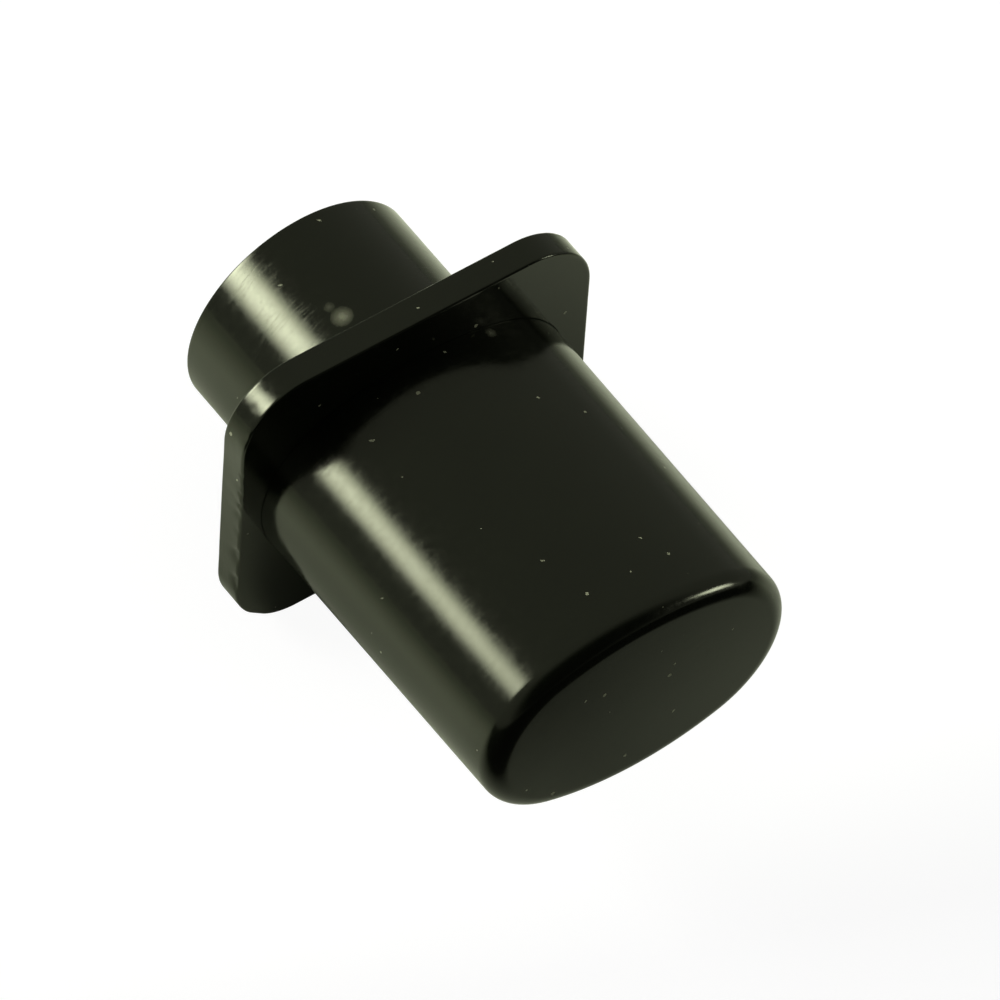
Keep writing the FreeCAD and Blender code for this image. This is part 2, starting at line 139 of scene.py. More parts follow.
def around(columns):
    """Evenly spaced angles for one trip round an outline."""
    return np.arange(columns) * (2 * math.pi / columns)


def circle(radius, columns=FINE):
    """Distance from the axis to a circle, at each angle."""
    return np.full(columns, float(radius))


def slab(half_long, half_short, corner, columns=FINE):
    """Distance from the axis to a rounded rectangle, at each angle.

    A ray meets the long side at half_long/cos, the short side at half_short/sin, or between them
    the corner circle, at the far root of the ray's quadratic with that circle.
    """
    angle = around(columns)
    c, s = np.abs(np.cos(angle)) + 1e-12, np.abs(np.sin(angle)) + 1e-12
    x, y = half_long - corner, half_short - corner
    along = x * c + y * s
    arc = along + np.sqrt(np.maximum(along ** 2 - x ** 2 - y ** 2 + corner ** 2, 0))
    side, top = half_long / c, half_short / s
    return np.where(side * s <= y, side, np.where(top * c <= x, top, arc))


def oval(half_long, half_short, end_radius, columns=FINE):
    """Distance from the axis to an oval of four tangent arcs, at each angle.

    The long sides' radius is the one that makes them tangent to the ends; a ray meets the end
    circle or the side circle, whichever owns its angle.
    """
    angle = around(columns)
    c, s = np.abs(np.cos(angle)), np.abs(np.sin(angle))
    x = half_long - end_radius
    side_radius = (half_long ** 2 - 2 * half_long * end_radius + half_short ** 2) / (
        2 * (half_short - end_radius))
    y = side_radius - half_short
    share = side_radius - end_radius
    joint = math.atan2(end_radius * y / share, x * side_radius / share)
    end = x * c + np.sqrt(np.maximum(end_radius ** 2 - (x * s) ** 2, 0))
    side = np.sqrt(side_radius ** 2 - (y * c) ** 2) - y * s
    return np.where(np.arctan2(s, c) < joint, end, side)


def cap_oval(inset):
    """The cap's outline at the skirt, drawn in by inset."""
    return oval(CAP[0] - inset, CAP[1] - inset, CAP_END_RADIUS - inset)


def neck_reach(height):
    """The neck's circle, with a shallow round gate mark on top near the brim: a Gaussian hollow."""
    place, level, size, depth = math.radians(103), -3.1, 0.62, 0.075
    gap = np.angle(np.exp(1j * (around(FINE) - place))) * NECK_RADIUS
    far = (gap ** 2 + (height - level) ** 2) / size ** 2
    return NECK_RADIUS - depth * np.exp(-far)


def brim_slab(inset):
    """The brim's outline, drawn in by inset."""
    return slab(BRIM[0] - inset, BRIM[1] - inset, BRIM_CORNER - inset)


def between(outer, inner, height, steps):
    """Flat rings that go from one outline to another at one height, ends left out."""
    shares = np.arange(1, steps) / steps
    return [(outer + (inner - outer) * share, height) for share in shares]


def quarter(steps):
    """Shares (1 - cos, sin) along a quarter circle, both running from 0 to 1."""
    turn = np.linspace(0, math.pi / 2, steps + 1)
    return list(zip(1 - np.cos(turn), np.sin(turn)))


def rise(outline, heights):
    """Stations that carry one outline straight up through the heights."""
    return [(outline, height) for height in heights]


def make_mesh(name, points, faces, parts=()):
    """Mesh object from points in mm (across, along, height), with faces turned outwards.

    The volume under the faces, a sum of corner triple products, has its sign tested, and the
    faces are reversed if it is negative. parts are further closed skins for the same mesh.
    """
    groups, total = [], 0
    for corners, loops in [(points, faces), *parts]:
        place = np.column_stack([corners[:, 0], -corners[:, 2], corners[:, 1]]) * MM
        a, b, c, d = (place[loops[:, i]] for i in range(4))
        volume = np.einsum("ij,ij->", a, np.cross(b, c)) + np.einsum("ij,ij->", a, np.cross(c, d))
        loops = loops if volume > 0 else loops[:, ::-1]
        groups.append((place, loops + total))
        total += len(place)
    vertices = np.concatenate([place for place, _ in groups])
    quads = np.concatenate([loops for _, loops in groups])
    mesh = bpy.data.meshes.new(name)
    polygons = [q[:3] if q[2] == q[3] else (q[1:] if q[0] == q[1] else q) for q in quads.tolist()]
    mesh.from_pydata(vertices.tolist(), [], polygons)
    mesh.shade_smooth()
    piece = bpy.data.objects.new(name, mesh)
    bpy.context.collection.objects.link(piece)
    return piece


def skin(stations, closed_loop=False, centre=(0.0, 0.0)):
    """Closed surface through a list of (outline, height) stations.

    Point (i, j) is the j-th angle of the i-th outline. The stations either run round and meet
    again, or each end is closed by a fan about a point on the axis.
    """
    reach = np.array([outline for outline, _ in stations])
    height = np.array([np.broadcast_to(level, reach.shape[1]) for _, level in stations])
    rows, columns = reach.shape
    angle = around(columns)
    points = np.stack([
        centre[0] + reach * np.cos(angle), centre[1] + reach * np.sin(angle), height], axis=2)
    points = points.reshape(-1, 3)
    grid = np.arange(rows * columns).reshape(rows, columns)
    right = np.roll(grid, -1, axis=1)
    above, above_right = np.roll(grid, -1, axis=0), np.roll(right, -1, axis=0)
    last = rows if closed_loop else rows - 1
    quads = np.stack([grid, right, above_right, above], axis=2)[:last].reshape(-1, 4)
    if closed_loop:
        return points, quads
    poles = [[centre[0], centre[1], height[i].mean()] for i in (0, -1)]
    count = len(points)
    first = np.stack([np.full(columns, count), np.full(columns, count), right[0], grid[0]], axis=1)
    final = np.stack([grid[-1], right[-1]] + [np.full(columns, count + 1)] * 2, axis=1)
    return np.concatenate([points, poles]), np.concatenate([quads, first, final])


def rib(low, high, foot, top, ease=0.12):
    """Upright closed slab between two corners, its edges eased by quarter circles."""
    half = [(high[i] - low[i]) / 2 for i in (0, 1)]
    centre = [(high[i] + low[i]) / 2 for i in (0, 1)]

    def outline(inset):
        return slab(half[0] - inset, half[1] - inset, ease * 1.5 - inset, COARSE)

    curve = [(ease * across, ease * up) for across, up in quarter(4)]
    stations = [(outline(across), foot + ease - up) for across, up in reversed(curve)]
    stations += [(outline(across), top - ease + up) for across, up in curve]
    return skin(stations, centre=centre)


def coil(radius, wire, low, high, turns, closed=0.9, steps=72, sides=20):
    """Round wire wound round the axis, its end turns laid close.

    The height gained per turn is the wire's thickness over the end turns and eases up to the
    open pitch between them; its running sum, stretched to fit, is the height of the wire.
    """
    share = np.linspace(0, 1, int(turns * steps) + 1)
    from_end = np.minimum(share, 1 - share) * turns
    ease = np.clip((from_end - closed * 0.5) / closed, 0, 1)
    ease = ease * ease * (3 - 2 * ease)
    room = high - low - wire
    flat = wire * 1.03
    gain = np.concatenate([[0], np.cumsum((ease[1:] + ease[:-1]) / 2)])
    gain /= gain[-1]
    height = low + wire / 2 + flat * share * turns + (room - flat * turns) * gain
    angle = 2 * math.pi * turns * share
    out = np.column_stack([np.cos(angle), np.sin(angle), np.zeros_like(angle)])
    path = out * radius
    path[:, 2] = height
    along = np.gradient(path, axis=0)
    along /= np.linalg.norm(along, axis=1)[:, None]
    side = np.cross(along, out)
    turn = around(sides)
    ring = out[:, None] * np.cos(turn)[None, :, None] + side[:, None] * np.sin(turn)[None, :, None]
    points = (path[:, None] + ring * wire / 2).reshape(-1, 3)
    grid = np.arange(len(points)).reshape(-1, sides)
    right = np.roll(grid, -1, axis=1)
    quads = np.stack([grid[:-1], right[:-1], right[1:], grid[1:]], axis=2).reshape(-1, 4)
    count = len(points)
    first = np.stack([np.full(sides, count), np.full(sides, count), right[0], grid[0]], axis=1)
    final = np.stack([grid[-1], right[-1]] + [np.full(sides, count + 1)] * 2, axis=1)
    points = np.concatenate([points, path[[0, -1]]])
    return points, np.concatenate([quads, first, final])


def dents(rng, count, depth, size, middle, spread, levels):
    """Depth of dents over the brim's edge, angle by height: a sum of round Gaussian hollows.

    Each has a random place, depth and size in mm; an angle becomes a length through the brim's
    half length. Returns a function that gives the depth at every angle for one height.
    """
    places = rng.normal(middle, spread, count)
    heights = rng.uniform(*levels, count)
    wide = size * rng.uniform(0.4, 1.8, count)
    deep = depth * rng.uniform(0.15, 1.0, count)
    gaps = np.angle(np.exp(1j * (around(FINE)[None, :] - places[:, None]))) * BRIM[0]

    def at(height):
        far = (gaps ** 2 + (height - heights[:, None]) ** 2) / wide[:, None] ** 2
        return (deep[:, None] * np.exp(-far)).sum(axis=0)
    return at


# ---- the two black mouldings ---------------------------------------------------------------


def build_housing():
    """Neck, brim, pocket, tower and bores as one skin that runs round and meets itself."""
    rng = np.random.default_rng(16)
    chipped = dents(rng, 16, 0.13, 0.26, math.pi, 0.40, (BRIM_THICKNESS - 0.1, BRIM_THICKNESS))
    bruised = dents(rng, 40, 0.026, 0.85, math.pi, 0.40, (0, BRIM_THICKNESS))
    handled = dents(rng, 40, 0.018, 0.22, 0, 1.8, (0.0, BRIM_THICKNESS))

    def worn(height):
        return np.minimum(chipped(height) + bruised(height) + handled(height), 0.14)

    rim, root, lip = 0.10, 0.12, 0.02
    stations = [(circle(NECK_RADIUS - rim + rim * up), NECK_END + rim * across)
                for across, up in quarter(5)]
    stations += [(neck_reach(height), height) for height in np.linspace(NECK_END + 0.3, -0.3, 34)]
    stations += [(circle(NECK_RADIUS + root * across), -root + root * up)
                 for across, up in quarter(6)]
    wide_root = circle(NECK_RADIUS + root + 0.08)
    edge_ring = brim_slab(BRIM_EDGE + 0.1)
    stations += [(wide_root, 0.0)] + between(wide_root, edge_ring, 0.0, 4) + [(edge_ring, 0.0)]
    stations += [(brim_slab(BRIM_EDGE - BRIM_EDGE * up) - worn(0) * up, BRIM_EDGE * across)
                 for across, up in quarter(5)]
    stations += [(brim_slab(0) - worn(height), height) for height in
                 np.linspace(BRIM_EDGE, BRIM_THICKNESS - BRIM_EDGE, 16)[1:-1]]
    chips = worn(BRIM_THICKNESS)
    stations += [(brim_slab(BRIM_EDGE * across) - chips * (1 - across),
                  BRIM_THICKNESS - BRIM_EDGE + BRIM_EDGE * up - chips * 0.5 * (1 - across))
                 for across, up in quarter(5)]
    front_ring = brim_slab(BRIM_EDGE + 0.1)
    pocket_ring = cap_oval(-SKIRT_GAP - lip - 0.06)
    stations += [(front_ring, BRIM_THICKNESS)]
    stations += between(front_ring, pocket_ring, BRIM_THICKNESS, 4)
    stations += [(pocket_ring, BRIM_THICKNESS)]
    stations += [(cap_oval(-SKIRT_GAP - lip + lip * up), BRIM_THICKNESS - lip * across)
                 for across, up in quarter(4)]
    wall = cap_oval(-SKIRT_GAP)
    stations += rise(wall, np.linspace(BRIM_THICKNESS - lip - 0.06, POCKET_FLOOR, 5))
    foot = circle(TOWER_RADIUS)
    stations += between(wall, foot, POCKET_FLOOR, 6)
    stations += rise(foot, np.linspace(POCKET_FLOOR, TOWER_TOP - lip, 6))
    stations += [(circle(TOWER_RADIUS - lip * across), TOWER_TOP - lip + lip * up)
                 for across, up in quarter(3)]
    stations += rise(circle(SEAL_RECESS), [TOWER_TOP, TOWER_TOP - 0.5, BUSH_FRONT])
    stations += rise(circle(BUSH_HOLE), [BUSH_FRONT, 5.0, WEB_REAR])
    stations += between(circle(BUSH_HOLE), circle(SHELF_BORE), WEB_REAR, 3)
    stations += rise(circle(SHELF_BORE), [WEB_REAR, -3.0, -base_low[1]])
    stations += rise(circle(NECK_BORE), [-base_low[1], -6.4, -base_high[1]])
    stations += rise(circle(RING_GROOVE), [-base_high[1], -ring_high[1] - SEATED])
    stations += rise(circle(NECK_BORE), [-ring_high[1] - SEATED, -8.6, NECK_END + rim])
    stations += [(circle(NECK_BORE + rim * across), NECK_END + rim - rim * up)
                 for across, up in quarter(4)[1:]]
    points, faces = skin(stations, closed_loop=True)
    posts = []
    for side in (-1, 1):
        ends = sorted((side * POST_INNER, side * POST_OUTER))
        low, high = (ends[0], -POST_HALF_WIDTH), (ends[1], POST_HALF_WIDTH)
        posts.append(rib(low, high, POCKET_FLOOR - 0.4, POST_TOP))
    return make_mesh("housing_moulding", points, faces, posts)


def build_cap():
    """Oval shell: from the insert's hole over the boss, the inside, the skirt's rim, the outside
    and the rounded edge to the middle of the pressed face, which sinks very slightly: by
    sink * (1 - share^2) at each share of the face's outline. Ribs and channels are added."""
    lip, sink = 0.06, 0.035
    reach = CAP_FACE - SKIRT_END
    stations = between(circle(0), circle(INSERT_HOLE), INSERT_ROOF, 4)
    stations += rise(circle(INSERT_HOLE), [INSERT_ROOF, BOSS_END + 2, BOSS_END])
    stations += [(circle(BOSS_RADIUS - lip + lip * up), BOSS_END + lip * across)
                 for across, up in quarter(3)]
    stations += rise(circle(BOSS_RADIUS), [BOSS_END + 2, CAP_CEILING])
    inner_top = cap_oval(CAP_WALL + CAP_DRAFT * (CAP_CEILING - SKIRT_END))
    stations += between(circle(BOSS_RADIUS), inner_top, CAP_CEILING, 4)
    for height in np.linspace(CAP_CEILING, SKIRT_END + lip, 8):
        stations.append((cap_oval(CAP_WALL + CAP_DRAFT * (height - SKIRT_END)), height))
    stations += [(cap_oval(CAP_WALL - lip * across), SKIRT_END + lip - lip * up)
                 for across, up in quarter(3)[1:]]
    stations += [(cap_oval(lip - lip * up), SKIRT_END + lip * across) for across, up in quarter(3)]
    for height in np.linspace(SKIRT_END + 0.2, CAP_FACE - CAP_EDGE - 0.1, 26):
        stations.append((cap_oval(CAP_DRAFT * (height - SKIRT_END)), height))
    shoulder = CAP_DRAFT * (reach - CAP_EDGE)
    stations += [(cap_oval(shoulder + CAP_EDGE * across), CAP_FACE - CAP_EDGE + CAP_EDGE * up)
                 for across, up in quarter(18)]
    face = cap_oval(shoulder + CAP_EDGE)
    for share in (0.995, 0.97, 0.9, 0.8, 0.65, 0.5, 0.35, 0.2, 0.08):
        depth = sink * (1 - share ** 2) * min(1, (1 - share) / 0.1)
        stations.append((face * share, CAP_FACE - depth))
    points, faces = skin(stations)
    ribs = []
    low_top, root = CAP_CEILING - 4.5, CAP_CEILING + 0.9
    inner = (CAP[0] - CAP_WALL * 0.75, CAP[1] - CAP_WALL * 0.75)
    ribs.append(rib((-inner[0], -RIB / 2), (-BOSS_RADIUS + 0.3, RIB / 2), low_top, root))
    ribs.append(rib((BOSS_RADIUS - 0.3, -RIB / 2), (inner[0], RIB / 2), low_top, root))
    ribs.append(rib((-RIB / 2, -inner[1]), (RIB / 2, -BOSS_RADIUS + 0.3), low_top, root))
    ribs.append(rib((-RIB / 2, BOSS_RADIUS - 0.3), (RIB / 2, inner[1]), low_top, root))
    near, gap = spring_high[0] + 0.3, POST_HALF_WIDTH + 0.12
    for side in (-1, 1):
        ends = sorted((side * near, side * (inner[0] - 0.1)))
        for lift in (-gap - RIB, gap):
            low, high = (ends[0], lift), (ends[1], lift + RIB)
            ribs.append(rib(low, high, SKIRT_END + 2.0, root))
    return make_mesh("cap_moulding", points, faces, ribs)


def build_springs():
    """The return spring round the tower and the small contact spring on the carrier's post."""
    main = make_mesh("return_coil", *coil(
        spring_high[0] - RETURN_WIRE / 2, RETURN_WIRE, -spring_high[1], -spring_low[1],
        RETURN_TURNS))
    touch = make_mesh("contact_coil", *coil(
        shelf_high[0] - CONTACT_WIRE / 2, CONTACT_WIRE, -shelf_high[1], -shelf_low[1],
        CONTACT_TURNS, closed=0.4))
    return main, touch


# ---- small pieces with eased edges ---------------------------------------------------------


def eased(node, name, width):
    """Copy of a CAD node, merged, with its flat faces joined up and its sharp edges bevelled."""
    source = frame["nodes"][node]
    mesh = source.data.copy()
    mesh.name = name
    work = bmesh.new()
    work.from_mesh(mesh)
    bmesh.ops.remove_doubles(work, verts=work.verts, dist=2e-7)
    bmesh.ops.dissolve_limit(
        work, angle_limit=math.radians(0.5), verts=work.verts, edges=work.edges)
    work.to_mesh(mesh)
    work.free()
    mesh.shade_smooth()
    piece = bpy.data.objects.new(name, mesh)
    bpy.context.collection.objects.link(piece)
    bevel = piece.modifiers.new("eased edges", "BEVEL")
    bevel.width = width * MM
    bevel.segments = 2
    bevel.limit_method = "ANGLE"
    bevel.angle_limit = math.radians(40)
    bevel.harden_normals = True
    return piece


# ---- materials -----------------------------------------------------------------------------


def colour(code):
    """Linear colour with alpha from an sRGB hex code."""
    parts = [int(code[i:i + 2], 16) / 255 for i in (1, 3, 5)]
    line = [v / 12.92 if v <= 0.04045 else ((v + 0.055) / 1.055) ** 2.4 for v in parts]
    return (*line, 1.0)


def add(tree, kind, inputs=None, **settings):
    """Add a node, set its properties and inputs, and link any input that is given as a socket."""
    node = tree.nodes.new(kind)
    for name, setting in settings.items():
        setattr(node, name, setting)
    for name, given in (inputs or {}).items():
        if isinstance(given, bpy.types.NodeSocket):
            tree.links.new(given, node.inputs[name])
        else:
            node.inputs[name].default_value = given
    return node


def start(name):
    """New material with a Principled shader: (material, tree, shader, object coordinates)."""
    material = bpy.data.materials.new(name)
    material.use_nodes = True
    tree = material.node_tree
    shader = tree.nodes["Principled BSDF"]
    place = add(tree, "ShaderNodeTexCoord").outputs["Object"]
    return material, tree, shader, place


def per_mm(size):
    """Texture scale, in cycles per metre, of a pattern whose grain is size millimetres."""
    return 1 / (size * MM)


def gloss_black(name, roughness, scratch_depth, mottled, highlight_spots):
    """ABS, injection moulded against a polished steel tool: black with an olive cast, a glossy
    skin that waves a little where the wall sank, handling scratches and specks of dust.

    mottled is how far the gloss varies, as a share of the roughness. The last argument lists
    painted
    highlights, pale rough spots: (place in mm, radius in mm, strength at the middle).
    """
    material, tree, shader, place = start(name)
    cloud = add(tree, "ShaderNodeTexNoise", {
        "Vector": place, "Scale": per_mm(3.5), "Detail": 3.0, "Roughness": 0.55})
    tint = add(tree, "ShaderNodeMix", {
        "Factor": cloud.outputs["Fac"], "A": colour("#060805"), "B": colour("#0c0f09")},
        data_type="RGBA")
    # dust: some cells hold a ragged speck up to 0.27 mm across, coarser than real dust so that
    # it shows, and some a short fine hair
    frayed = add(tree, "ShaderNodeTexNoise", {
        "Vector": place, "Scale": per_mm(0.12), "Detail": 1.0})
    ragged = add(tree, "ShaderNodeVectorMath", {
        0: frayed.outputs["Color"], 1: (0.14 * MM,) * 3, 2: place}, operation="MULTIPLY_ADD")
    turned = add(tree, "ShaderNodeMapping", {
        "Vector": ragged.outputs[0], "Rotation": (0.5, 0.3, 0.8)}).outputs["Vector"]
    marks = []
    for place_of_mark, cell_size, rare, size in (
            (ragged.outputs[0], (1.9, 1.9, 1.9), 0.54, 0.07),
            (turned, (4.5, 0.9, 0.9), 0.60, 0.08)):
        drawn = add(tree, "ShaderNodeMapping", {
            "Vector": place_of_mark, "Scale": [per_mm(v) for v in cell_size]})
        cell = add(tree, "ShaderNodeTexVoronoi", {
            "Vector": drawn.outputs["Vector"], "Scale": 1.0, "Randomness": 1.0})
        chosen = add(tree, "ShaderNodeMapRange", {
            "Value": cell.outputs["Color"], "From Min": rare, "From Max": rare + 0.15,
            "To Min": 0.0, "To Max": size})
        mark = add(tree, "ShaderNodeMath", {
            0: cell.outputs["Distance"], 1: chosen.outputs[0]}, operation="LESS_THAN")
        marks.append(mark.outputs[0])
    dust_and_highlights = add(tree, "ShaderNodeMath", {0: marks[0], 1: marks[1]}, operation="MAXIMUM").outputs[0]
    # painted highlights: each listed spot is painted pale into the colour, strongest in its middle
    for spot, radius, strength in highlight_spots:
        away = add(tree, "ShaderNodeVectorMath", {
            0: ragged.outputs[0], 1: tuple(v * MM for v in spot)}, operation="DISTANCE")
        soft = add(tree, "ShaderNodeMapRange", {
            "Value": away.outputs["Value"], "From Min": 0.0, "From Max": radius * MM,
            "To Min": strength, "To Max": 0.0})
        dust_and_highlights = add(tree, "ShaderNodeMath", {
            0: dust_and_highlights, 1: soft.outputs[0]}, operation="MAXIMUM").outputs[0]
    # share of pale colour from the dust and from the painted highlight spots
    dust_and_highlight_share = add(tree, "ShaderNodeMath", {0: dust_and_highlights, 1: 0.6}, operation="MULTIPLY")
    dust_and_highlight_colour = add(tree, "ShaderNodeMix", {
        "Factor": dust_and_highlight_share.outputs[0], "A": tint.outputs["Result"], "B": colour("#b9bba6")},
        data_type="RGBA")
    tree.links.new(dust_and_highlight_colour.outputs["Result"], shader.inputs["Base Color"])
    # scratches run round the barrel; real ones are hair fine, these are 0.1 mm so that they show
    drift = add(tree, "ShaderNodeTexNoise", {
        "Vector": place, "Scale": per_mm(6), "Detail": 1.0})
    bent = add(tree, "ShaderNodeVectorMath", {
        0: drift.outputs["Color"], 1: (0, 0.9 * MM, 0), 2: place}, operation="MULTIPLY_ADD")
    along_scratch = add(tree, "ShaderNodeMapping", {
        "Vector": bent.outputs[0], "Scale": (per_mm(3.2), per_mm(0.10), per_mm(3.2))})
    rings = add(tree, "ShaderNodeTexNoise", {
        "Vector": along_scratch.outputs["Vector"], "Scale": 1.0, "Detail": 5.0, "Roughness": 0.75})
    sparse = add(tree, "ShaderNodeMapRange", {
        "Value": rings.outputs["Fac"], "From Min": 0.55, "From Max": 0.72})
    patch = add(tree, "ShaderNodeTexNoise", {
        "Vector": place, "Scale": per_mm(0.55), "Detail": 5.0, "Roughness": 0.7})
    rough = add(tree, "ShaderNodeMapRange", {
        "Value": patch.outputs["Fac"], "From Min": 0.3, "From Max": 0.75,
        "To Min": roughness * (1 - mottled), "To Max": roughness * (1 + 2 * mottled)})
    worn = add(tree, "ShaderNodeMath", {
        0: sparse.outputs[0], 1: 0.025, 2: rough.outputs[0]}, operation="MULTIPLY_ADD")
    # roughness rises under the dust and under the painted highlight spots
    powder = add(tree, "ShaderNodeMath", {
        0: dust_and_highlight_share.outputs[0], 1: 0.5, 2: worn.outputs[0]}, operation="MULTIPLY_ADD")
    tree.links.new(powder.outputs[0], shader.inputs["Roughness"])
    wave = add(tree, "ShaderNodeTexNoise", {
        "Vector": place, "Scale": per_mm(4.5), "Detail": 1.5, "Roughness": 0.4})
    swell = add(tree, "ShaderNodeBump", {
        "Height": wave.outputs["Fac"], "Strength": 1.0, "Distance": 0.012 * MM})
    cut = add(tree, "ShaderNodeBump", {
        "Height": sparse.outputs[0], "Strength": 1.0, "Distance": scratch_depth * MM,
        "Normal": swell.outputs["Normal"]}, invert=True)
    tree.links.new(cut.outputs["Normal"], shader.inputs["Normal"])
    shader.inputs["IOR"].default_value = 1.52
    shader.inputs["Specular Tint"].default_value = (0.97, 1.0, 0.84, 1.0)
    return material


def turned_metal(name, light, dark, roughness, groove):
    """Bar stock turned in a lathe: tool marks run round the axis, so they vary along Y only."""
    material, tree, shader, place = start(name)
    round_axis = add(tree, "ShaderNodeMapping", {
        "Vector": place, "Scale": (per_mm(9), per_mm(groove), per_mm(9))})
    marks = add(tree, "ShaderNodeTexNoise", {
        "Vector": round_axis.outputs["Vector"], "Scale": 1.0, "Detail": 3.0, "Roughness": 0.6})
    tint = add(tree, "ShaderNodeMix", {
        "Factor": marks.outputs["Fac"], "A": colour(dark), "B": colour(light)},
        data_type="RGBA")
    tree.links.new(tint.outputs["Result"], shader.inputs["Base Color"])
    rough = add(tree, "ShaderNodeMapRange", {
        "Value": marks.outputs["Fac"], "To Min": roughness * 0.7, "To Max": roughness * 1.4})
    tree.links.new(rough.outputs[0], shader.inputs["Roughness"])
    cut = add(tree, "ShaderNodeBump", {
        "Height": marks.outputs["Fac"], "Strength": 0.6, "Distance": 0.004 * MM})
    tree.links.new(cut.outputs["Normal"], shader.inputs["Normal"])
    shader.inputs["Metallic"].default_value = 1.0
    return material


def strip_metal(name, light, dark, roughness, grain):
    """Sheet or strip, rolled and then stamped: fine lines along the rolling direction, X, and a
    cloudy tarnish over them."""
    material, tree, shader, place = start(name)
    rolled = add(tree, "ShaderNodeMapping", {
        "Vector": place, "Scale": (per_mm(grain * 25), per_mm(grain), per_mm(grain))})
    lines = add(tree, "ShaderNodeTexNoise", {
        "Vector": rolled.outputs["Vector"], "Scale": 1.0, "Detail": 3.0, "Roughness": 0.6})
    cloud = add(tree, "ShaderNodeTexNoise", {
        "Vector": place, "Scale": per_mm(1.6), "Detail": 4.0, "Roughness": 0.6})
    mix = add(tree, "ShaderNodeMath", {
        0: lines.outputs["Fac"], 1: cloud.outputs["Fac"]}, operation="MULTIPLY")
    spread = add(tree, "ShaderNodeMapRange", {
        "Value": mix.outputs[0], "From Min": 0.12, "From Max": 0.4})
    tint = add(tree, "ShaderNodeMix", {
        "Factor": spread.outputs[0], "A": colour(dark), "B": colour(light)}, data_type="RGBA")
    tree.links.new(tint.outputs["Result"], shader.inputs["Base Color"])
    rough = add(tree, "ShaderNodeMapRange", {
        "Value": cloud.outputs["Fac"], "To Min": roughness * 0.7, "To Max": roughness * 1.5})
    tree.links.new(rough.outputs[0], shader.inputs["Roughness"])
    cut = add(tree, "ShaderNodeBump", {
        "Height": lines.outputs["Fac"], "Strength": 0.5, "Distance": 0.003 * MM})
    tree.links.new(cut.outputs["Normal"], shader.inputs["Normal"])
    shader.inputs["Metallic"].default_value = 1.0
    return material


def grainy(name, light, dark, roughness, grain, metallic, depth):
    """Pressed powder, rubber or filled plastic: specks of one grain size in a duller ground."""
    material, tree, shader, place = start(name)
    specks = add(tree, "ShaderNodeTexVoronoi", {
        "Vector": place, "Scale": per_mm(grain), "Randomness": 1.0})
    cloud = add(tree, "ShaderNodeTexNoise", {
        "Vector": place, "Scale": per_mm(grain * 6), "Detail": 4.0, "Roughness": 0.6})
    mix = add(tree, "ShaderNodeMath", {
        0: specks.outputs["Distance"], 1: cloud.outputs["Fac"]}, operation="MULTIPLY")
    tint = add(tree, "ShaderNodeMix", {
        "Factor": mix.outputs[0], "A": colour(dark), "B": colour(light)}, data_type="RGBA")
    tree.links.new(tint.outputs["Result"], shader.inputs["Base Color"])
    rough = add(tree, "ShaderNodeMapRange", {
        "Value": cloud.outputs["Fac"], "To Min": roughness * 0.8, "To Max": roughness * 1.2})
    tree.links.new(rough.outputs[0], shader.inputs["Roughness"])
    pits = add(tree, "ShaderNodeBump", {
        "Height": specks.outputs["Distance"], "Strength": 0.6, "Distance": depth * MM})
    tree.links.new(pits.outputs["Normal"], shader.inputs["Normal"])
    shader.inputs["Metallic"].default_value = metallic
    return material


